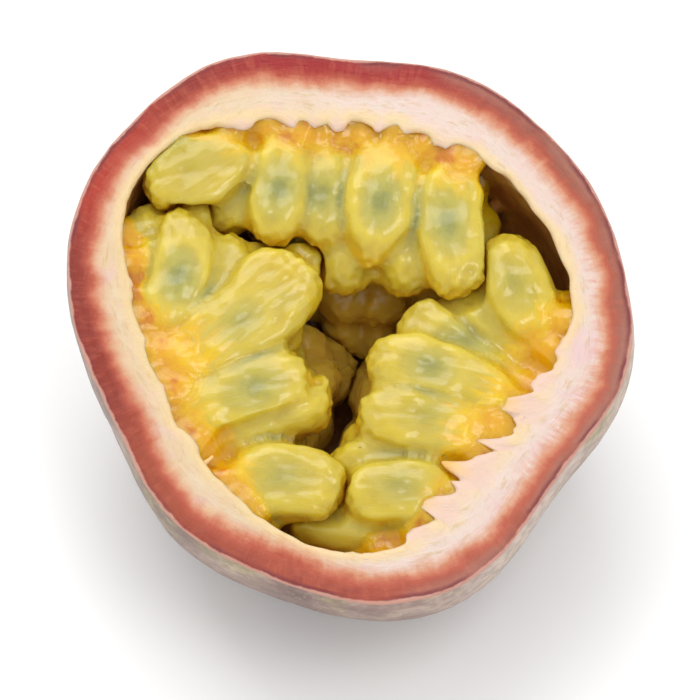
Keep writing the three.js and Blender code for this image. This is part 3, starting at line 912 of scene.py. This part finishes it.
def with_root(f, juice, here, cloud, streak, random):
    """Gold and then orange towards the root, with a few darker orange spots on it."""
    along = f.sum(f.attribute("along"), f.ramp(streak, 0.25, 0.75, -0.1, 0.1))
    along = f.sum(along, f.ramp(random, 0, 1, -0.05, 0.08))
    gold = f.blend(f.ramp(cloud, 0.4, 0.62), linear(224, 184, 0), linear(221, 172, 0))
    juice = f.blend(f.ramp(along, 0.12, 0.4, 0.95, 0), juice, gold)
    juice = f.blend(f.ramp(along, -0.15, 0.16, 0.8, 0), juice, linear(218, 151, 0))
    spot = f.times(f.ramp(along, 0.0, 0.22, 0.7, 0), f.ramp(f.noise(here, 260, 3, 0.6), 0.53, 0.66))
    return f.blend(spot, juice, linear(194, 100, 2))


# %% Sac finish
def sac_finish():
    f = Finish("juice_sac", IOR=1.36, Coat_Weight=0.5, Coat_Roughness=0.09,
               Subsurface_Weight=0.8, Subsurface_Radius=(1.0, 0.8, 0.24), Subsurface_Scale=0.0055)
    own, here, random = f.attribute("own", "Vector"), f.place(), f.attribute("random")
    streak = f.noise(f.stretch(own, 1.5, 0.22, 1.5), 1.1, 4, 0.65)
    cloud = f.noise(here, 330, 3, 0.5)
    grain = f.noise(here, 1500, 3, 0.6)
    juice = f.blend(f.ramp(cloud, 0.35, 0.65), linear(194, 170, 40), linear(188, 168, 60))
    juice = f.blend(f.ramp(random, 0.1, 0.9, 0, 0.4), juice, linear(184, 162, 48))
    juice = f.blend(f.ramp(streak, 0.54, 0.74, 0, 0.4), juice, linear(202, 188, 112))
    # Painted glow: low on each sac and in the valleys between sacs the juice is painted a brighter gold,
    # for light shining through the juice where shade would fall.
    juice = f.blend(f.ramp(f.part(own, "Z"), -0.4, 1.9, 0.85, 0), juice, linear(218, 172, 14))
    juice = with_seed(f, juice, own, cloud, grain)
    juice = with_root(f, juice, here, cloud, streak, random)
    # Painted fill light: sacs far below the cut are tinted lighter and duller, so that the shade deep in
    # the hollow stays light.
    deep = f.sum(f.attribute("down"), f.ramp(cloud, 0.3, 0.7, -0.8, 0.8))
    juice = f.blend(f.ramp(deep, 6, 14, 0, 0.8), juice, linear(214, 170, 66))
    f.join(juice, f.shader.inputs["Base Color"])
    f.join(f.ramp(cloud, 0.35, 0.65, 0.2, 0.34), f.shader.inputs["Roughness"])
    f.bump(grain, 0.00003, f.bump(streak, 0.00008))
    return f.material


# %% Put the finishes on
for finish in (skin_finish(), cut_finish(), wall_finish()):
    rind.data.materials.append(finish)
rows = [0] * len(skin) + [1] * (len(cut) - 1) + [2] * len(wall)
rind.data.polygons.foreach_set("material_index", list(np.repeat(rows, TURNS)) + [0, 2] * TURNS)

# %% [markdown]
# ## The pegs
# Short fleshy pegs join the sacs to the wall. They could be copies set down by hand, but they are all
# the same thing at different sizes, so Geometry Nodes make them: one flared cone, put at each point
# of a small mesh whose vertices say which way their peg points, how long it is and how thick.


# %% A tree that stands pegs on points
def group_input(tree, name, kind, value=None):
    socket = tree.interface.new_socket(name, in_out="INPUT", socket_type="NodeSocket" + kind)
    if value is not None:
        socket.default_value = value
    return socket


def peg_tree():
    tree = bpy.data.node_groups.new("pegs_on_points", "GeometryNodeTree")
    group_input(tree, "Geometry", "Geometry")
    group_input(tree, "Sides", "Int", 18)
    group_input(tree, "Rings", "Int", 14)
    group_input(tree, "Tip share", "Float", 0.3)
    group_input(tree, "Flare", "Float", 2.2)
    group_input(tree, "Unevenness", "Float", 0.0001)
    group_input(tree, "Seed", "Float", 3.0)
    group_input(tree, "Finish", "Material")
    tree.interface.new_socket("Geometry", in_out="OUTPUT", socket_type="NodeSocketGeometry")
    nodes = tree.nodes
    given = nodes.new("NodeGroupInput").outputs

    def node(kind, output, inputs, prefix="GeometryNode", **settings):
        made = nodes.new(prefix + kind)
        for key, value in settings.items():
            setattr(made, key, value)
        for socket, source in inputs.items():
            if isinstance(source, bpy.types.NodeSocket):
                tree.links.new(source, made.inputs[socket])
            else:
                made.inputs[socket].default_value = source
        return made.outputs[output]

    def maths(how, a, b):
        return node("Math", "Value", {0: a, 1: b}, "ShaderNode", operation=how)

    def vectors(how, a, b):
        second = "Scale" if how == "SCALE" else 1
        return node("VectorMath", "Vector", {0: a, second: b}, "ShaderNode", operation=how)

    def named(name, kind):
        return node("InputNamedAttribute", "Attribute", {"Name": name}, data_type=kind)

    cone = node("MeshCone", "Mesh", {
        "Vertices": given["Sides"], "Side Segments": given["Rings"], "Fill Segments": 2,
        "Radius Top": 1.0, "Radius Bottom": 1.0, "Depth": 1.0}, fill_type="TRIANGLE_FAN")
    at = nodes.new("GeometryNodeInputPosition").outputs["Position"]
    height = node("SeparateXYZ", "Z", {"Vector": at}, "ShaderNode")
    flare = maths("POWER", maths("SUBTRACT", 1.0, height), given["Flare"])
    flare = maths("MULTIPLY", flare, maths("SUBTRACT", 1.0, given["Tip share"]))
    slim = maths("ADD", given["Tip share"], flare)
    scale = node("CombineXYZ", "Vector", {"X": slim, "Y": slim, "Z": 1.0}, "ShaderNode")
    cone = node("SetPosition", "Geometry", {"Geometry": cone, "Position": vectors("MULTIPLY", at, scale)})
    cone = node("StoreNamedAttribute", "Geometry", {"Geometry": cone, "Name": "along", "Value": height})
    turned = node("AlignRotationToVector", "Rotation", {"Vector": named("aim", "FLOAT_VECTOR")},
                  "FunctionNode", axis="Z")
    thick, long = named("thick", "FLOAT"), named("long", "FLOAT")
    size = node("CombineXYZ", "Vector", {"X": thick, "Y": thick, "Z": long}, "ShaderNode")
    pegs = node("InstanceOnPoints", "Instances", {
        "Points": given["Geometry"], "Instance": cone, "Rotation": turned, "Scale": size})
    pegs = node("RealizeInstances", "Geometry", {"Geometry": pegs})
    ripple = node("TexNoise", "Color", {"Vector": at, "W": given["Seed"], "Scale": 900.0}, "ShaderNode",
                  noise_dimensions="4D")
    offset = vectors("SCALE", vectors("SUBTRACT", ripple, (0.5, 0.5, 0.5)), given["Unevenness"])
    pegs = node("SetPosition", "Geometry", {"Geometry": pegs, "Offset": offset})
    pegs = node("SetShadeSmooth", "Geometry", {"Geometry": pegs})
    pegs = node("SetMaterial", "Geometry", {"Geometry": pegs, "Material": given["Finish"]})
    tree.links.new(pegs, nodes.new("NodeGroupOutput").inputs["Geometry"])
    return tree


def grown(name, points, fields, tree, **inputs):
    """Runs a tree on a few points and keeps the plain mesh that it makes."""
    carrier = in_scene(name + "_points", loose_mesh(name + "_points", points, []))
    for field, values in fields.items():
        keep(carrier, field, values)
    modifier = carrier.modifiers.new("nodes", "NODES")
    modifier.node_group = tree
    for item in tree.interface.items_tree:
        if item.in_out == "INPUT" and item.name in inputs:
            modifier[item.identifier] = inputs[item.name]
    piece = plain(name, carrier)
    bpy.data.objects.remove(carrier)
    return piece


# %% Peg finish
OUT_OF_CUT = PLACE.to_3x3().col[2].normalized()
CUT_LEVEL = PLACE.translation @ OUT_OF_CUT


def peg_finish():
    f = Finish("pith_peg", Roughness=0.35, Coat_Weight=0.35, Coat_Roughness=0.12,
               Subsurface_Weight=0.5, Subsurface_Radius=(1.5, 0.8, 0.5), Subsurface_Scale=0.0009)
    here = f.place()
    along = f.sum(f.attribute("along"), f.ramp(f.noise(here, 700), 0.25, 0.75, -0.25, 0.25))
    peg = f.blend(f.ramp(f.noise(here, 500), 0.35, 0.65), linear(204, 176, 142), linear(204, 160, 130))
    peg = f.blend(f.ramp(along, 0.1, 0.8, 0, 0.7), peg, linear(230, 176, 70))
    # Juice stain and painted shade: a peg more than a few millimetres below the cut is painted brown like
    # the shaded, wet wall round it.
    stained_and_shaded = f.ramp(f.dot(here, OUT_OF_CUT), CUT_LEVEL - 0.004, CUT_LEVEL - 0.002, 1, 0)
    peg = f.blend(stained_and_shaded, peg, linear(176, 118, 52))
    f.join(peg, f.shader.inputs["Base Color"])
    f.bump(f.noise(here, 1600, 2), 0.00006)
    return f.material


# %% Stand the pegs on the wall
# A cut peg is one that the knife met: the angle on the wall, how deep, how long and how thick.
CUT_PEGS = [
    (102, 0.8, 1.3, 0.4), (100, 1.2, 1.6, 0.35), (93, 0.7, 1.3, 0.35), (91.5, 1.3, 1.6, 0.35),
    (88, 0.8, 1.2, 0.4), (79, 0.7, 1.5, 0.45), (77.5, 1.3, 1.6, 0.3), (67, 0.8, 1.3, 0.4),
    (112, 1.0, 1.8, 1.1), (325, 1.3, 2.0, 1.1), (317, 1.1, 2.4, 1.1), (308, 1.0, 2.6, 1.2),
    (293, 1.2, 1.8, 1.0), (352, 1.1, 1.4, 1.0),
    (172, 0.9, 1.2, 0.6), (205, 0.9, 1.2, 0.6), (229, 0.9, 1.2, 0.6),
]
PEG_SUNK = 0.7  # how far a peg's foot is sunk in the wall
PEG_THICK = 1.5
PEG_IN_SAC = 0.9  # and its tip in the sac


def cut_rows(table, rng):
    """The foot, aim, length and thickness of each peg of a table."""
    for angle, down, long, thick in table:
        a = math.radians(angle + rng.uniform(-1.5, 1.5))
        way = np.array([-math.cos(a), -math.sin(a), -rng.uniform(0.0, 0.2)])
        way[:2] += rng.uniform(-0.25, 0.25, 2)
        way /= np.linalg.norm(way)
        yield hollow_at(a, down) - way * PEG_SUNK, way, long + PEG_SUNK, thick


def peg_rows():
    for sac in sacs:
        way = sac["root"] - sac["foot"]
        reach = np.linalg.norm(way)
        yield sac["foot"] - way / reach * PEG_SUNK, way / reach, reach + PEG_SUNK + PEG_IN_SAC, PEG_THICK
    yield from cut_rows(CUT_PEGS, np.random.default_rng(7))


def stand(name, rows, tree, **inputs):
    """A peg for each row of foot, aim, length and thickness, and all of them below the cut."""
    feet, aims, longs, thicks = (np.array(column) for column in zip(*rows))
    turned = np.array(PLACE.to_3x3()) / MM
    fields = {"aim": aims @ turned.T, "long": longs * MM, "thick": thicks * MM}
    piece = grown(name, placed(feet), fields, tree, **inputs)
    in_fruit = back_in_fruit(corners(piece))
    in_fruit[:, 2] = levelled(in_fruit[:, 2])
    move_corners(piece, placed(in_fruit))
    print(name + ":", len(feet), "with", len(piece.data.polygons), "faces")
    return piece


standing = peg_tree()
fleshy = peg_finish()
pegs = stand("pegs", peg_rows(), standing, Finish=fleshy)

# %% [markdown]
# ## The stalks
# Between its peg and its bag, each sac is gathered into a few golden stalks. They are pegs too, as
# far as their form goes, so the same tree makes them: wider at the tip, thicker, and softer.


# %% Gather the sacs into stalks
STALKS = {0: 11, 1: 7, 2: 3, 3: 2}  # how many each sac has, by layer
STALK_SUNK = 0.5
BARE = (5, 50)  # the angles between which the wall carries no stalks
SHALLOWEST = {"top": 1.0, "left": 1.0, "right": 2.2}  # how far below the cut the first ones stand


def stalk_rows(bunch, shallowest, rng):
    """The foot, aim, length and thickness of every stalk of a bunch."""
    for sac in bunch:
        inwards = tangent_at(sac, 0.0)
        side = np.cross([0, 0, 1], inwards)
        goal = axis_at(sac, 0.2)
        for _ in range(STALKS[sac["layer"]]):
            off, lift = rng.uniform(-1, 1), rng.uniform(-0.6, 1)
            foot = sac["foot"] + side * off * sac["half"] * 1.05 + [0, 0, lift * sac["half"] * 0.6]
            angle = math.atan2(foot[1], foot[0])
            if BARE[0] < math.degrees(angle) < BARE[1]:
                continue
            foot = hollow_at(angle, max(shallowest, -foot[2]))
            way = goal + side * off * sac["half"] * 0.5 + [0, 0, lift * 0.9] - foot
            long = np.linalg.norm(way)
            way /= long
            yield foot - way * STALK_SUNK, way, long + STALK_SUNK, rng.uniform(1.1, 2.0)


rng = np.random.default_rng(21)
looks = {"Tip share": 0.85, "Flare": 1.2, "Unevenness": 0.0004, "Sides": 12, "Rings": 8}
stalks = {}
for name, bunch in bunches.items():
    rows = stalk_rows(bunch, SHALLOWEST[name], rng)
    stalks[name] = stand("stalks_" + name, rows, standing, **looks)

# %% [markdown]
# ## Wet together
# Juice fills every crease between the bags with a film. A boolean union would join the bags too, but
# would leave a hard crease at each seam. Swelling a bunch, wrapping it in one new skin of tiny equal
# faces and letting the swelling down again makes the film: separate bags where they stand apart, and
# a soft valley where they touch. The new skin has no attributes, so each of its points takes them
# from the nearest points of what was wrapped. A stalk's are those of a root.

# %% Bags and stalks together
STALK_START, STALK_RISE = -0.3, 0.35  # a stalk counts as this far along its sac, from foot to tip
CARRIED = (("along", 1), ("random", 1), ("own", 3), ("shows", 1))
STALK_VALUES = [0.5, 9, 9, 9, 0]  # the rest of what a stalk carries: far from any seed


def values_of(piece, name, width):
    """An attribute of a piece as rows of numbers."""
    field = piece.data.attributes[name].data
    values = np.empty(len(field) * width)
    field.foreach_get("value" if width == 1 else "vector", values)
    return values.reshape(-1, width)


def both_together(bag, stalk):
    """The points and faces of a bunch's bags and stalks, and the values that each point carries."""
    points, faces = [], []
    for piece in (bag, stalk):
        first = sum(len(p) for p in points)
        points.append(corners(piece))
        faces += [[first + v for v in face.vertices] for face in piece.data.polygons]
    of_bags = np.hstack([values_of(bag, field, size) for field, size in CARRIED])
    rooted = STALK_START + STALK_RISE * values_of(stalk, "along", 1)
    of_stalks = np.hstack([rooted, np.tile(STALK_VALUES, (len(rooted), 1))])
    return np.concatenate(points), faces, np.vstack([of_bags, of_stalks])


# %% One new skin
VOXEL = 0.25
SWELL = 0.5
FILM_STEPS = 3


def one_skin(name, points, faces):
    """Swollen, wrapped in small even faces, let down again and smoothed a little."""
    loose = in_scene(name + "_loose", loose_mesh(name + "_loose", points, faces))
    swell = loose.modifiers.new("swell", "DISPLACE")
    swell.mid_level = 0
    swell.strength = SWELL * MM
    skin = loose.modifiers.new("skin", "REMESH")
    skin.mode = "VOXEL"
    skin.voxel_size = VOXEL * MM
    skin.use_smooth_shade = True
    shrink = loose.modifiers.new("shrink", "DISPLACE")
    shrink.mid_level = 0
    shrink.strength = -SWELL * MM
    film = loose.modifiers.new("film", "SMOOTH")
    film.iterations = FILM_STEPS
    piece = plain(name, loose)
    bpy.data.objects.remove(loose)
    return piece


# %% Values for the new skin
EVEN_STEPS = 5


def from_nearest(points, fields, there):
    """Values at new points, from the three nearest old ones, the closer the more."""
    finder = KDTree(len(fields))
    for k, point in enumerate(points):
        finder.insert(point, k)
    finder.balance()
    near = [finder.find_n(point, 3) for point in there]
    which = np.array([[k for _, k, _ in found] for found in near])
    weight = 1 / (np.array([[far for _, _, far in found] for found in near]) + 0.02 * MM)
    weight /= weight.sum(1, keepdims=True)
    return (fields[which] * weight[..., None]).sum(1)


def evened(piece, fields, steps):
    """Each point's values, mixed with those of its neighbours again and again."""
    ends = np.empty(len(piece.data.edges) * 2, int)
    piece.data.edges.foreach_get("vertices", ends)
    a, b = ends.reshape(-1, 2).T
    points = len(fields)
    count = 1 + np.bincount(ends, minlength=points)[:, None]
    for _ in range(steps):
        total = fields.copy()
        for k in range(fields.shape[1]):
            total[:, k] += np.bincount(a, fields[b, k], points) + np.bincount(b, fields[a, k], points)
        fields = total / count
    return fields


# %% Dents and wrinkles
def wrinkle(piece, in_fruit, along, own):
    """Pushes the skin in or out: soft dents, folds that run along a sac, and a rougher tip."""
    normals = np.empty(len(in_fruit) * 3)
    piece.data.vertices.foreach_get("normal", normals)
    folds = lumps(own * [1, 0.25, 1], 1.3, 42)
    push = 0.07 * lumps(in_fruit, 3.4, 41) + 0.05 * folds + 0.03 * lumps(in_fruit, 1.3, 43)
    push += 0.12 * np.clip(along / 0.2 - 4, 0, 1) * lumps(in_fruit, 1.2, 44)
    move_corners(piece, corners(piece) + normals.reshape(-1, 3) * push[:, None] * MM)


# %% Wrap the bunches
def wrapped(name, bag, stalk):
    """One skin round a bunch's bags and stalks, which give it its values."""
    points, faces, fields = both_together(bag, stalk)
    piece = one_skin(name, points, faces)
    for used in (bag, stalk):
        bpy.data.objects.remove(used)
    fields = evened(piece, from_nearest(points, fields, corners(piece)), EVEN_STEPS)
    along, random, own, shows = fields[:, 0], fields[:, 1], fields[:, 2:5], fields[:, 5]
    for field, values in (("along", along), ("random", random), ("own", own), ("shows", shows)):
        keep(piece, field, values)
    in_fruit = back_in_fruit(corners(piece))
    keep(piece, "down", -in_fruit[:, 2])
    wrinkle(piece, in_fruit, along, own)
    return piece


juice = sac_finish()
pulp = {}
for name, bag in bags.items():
    pulp[name] = wrapped("juice_sacs_" + name, bag, stalks[name])
    pulp[name].data.materials.clear()
    pulp[name].data.materials.append(juice)
print("faces:", {name: len(piece.data.polygons) for name, piece in pulp.items()})

# %% [markdown]
# ## The pieces on the fruit's body
# The imported solids stay in the scene, hidden, and these pieces ride on the body in their place.

# %% Ride and replace
for piece in (rind, pegs):
    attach(piece, "root")
    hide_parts("rind")
for name, piece in pulp.items():
    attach(piece, "root")
    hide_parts("sacs_" + name)

# %% [markdown]
# ## The studio
# The fruit lies on a white floor under large soft lights, so its shadow is soft too. The main light is
# above and behind, and the white all round fills the shadows.

# %% Floor
FLOOR_HALF = 2


def white_floor():
    f = Finish("white_floor", Roughness=0.7)
    f.join(linear(244, 244, 244), f.shader.inputs["Base Color"])
    square = np.array([(-1, -1, 0), (1, -1, 0), (1, 1, 0), (-1, 1, 0)]) * FLOOR_HALF
    mesh = loose_mesh("floor", square, [(0, 1, 2, 3)])
    mesh.materials.append(f.material)
    return in_scene("floor", mesh)


white_floor()


# %% Lights
def softbox(name, place, size, power):
    light = bpy.data.lights.new(name, "AREA")
    light.size = size
    light.energy = power
    lamp = in_scene(name, light)
    lamp.location = place
    lamp.rotation_euler = (-Vector(place)).to_track_quat("-Z", "Y").to_euler()


world = bpy.data.worlds.new("studio")
world.use_nodes = True
world.node_tree.nodes["Background"].inputs["Color"].default_value = (1, 1, 1, 1)
world.node_tree.nodes["Background"].inputs["Strength"].default_value = 0.97
bpy.context.scene.world = world
softbox("key", (-0.12, 0.3, 0.7), 0.5, 2.4)
softbox("side", (0.16, -0.16, 0.6), 0.2, 0.6)

# %% Camera
ELEVATION = math.radians(57)
DISTANCE = 0.38
target = Vector((0, 0.0023, 0.018))
towards = Vector((0, -math.cos(ELEVATION), math.sin(ELEVATION)))
camera_data = bpy.data.cameras.new("camera")
camera_data.lens = 205
camera = in_scene("camera", camera_data)
camera.location = target + towards * DISTANCE
camera.rotation_euler = (-towards).to_track_quat("-Z", "Y").to_euler()
bpy.context.scene.camera = camera
bpy.context.scene.view_settings.view_transform = "Standard"
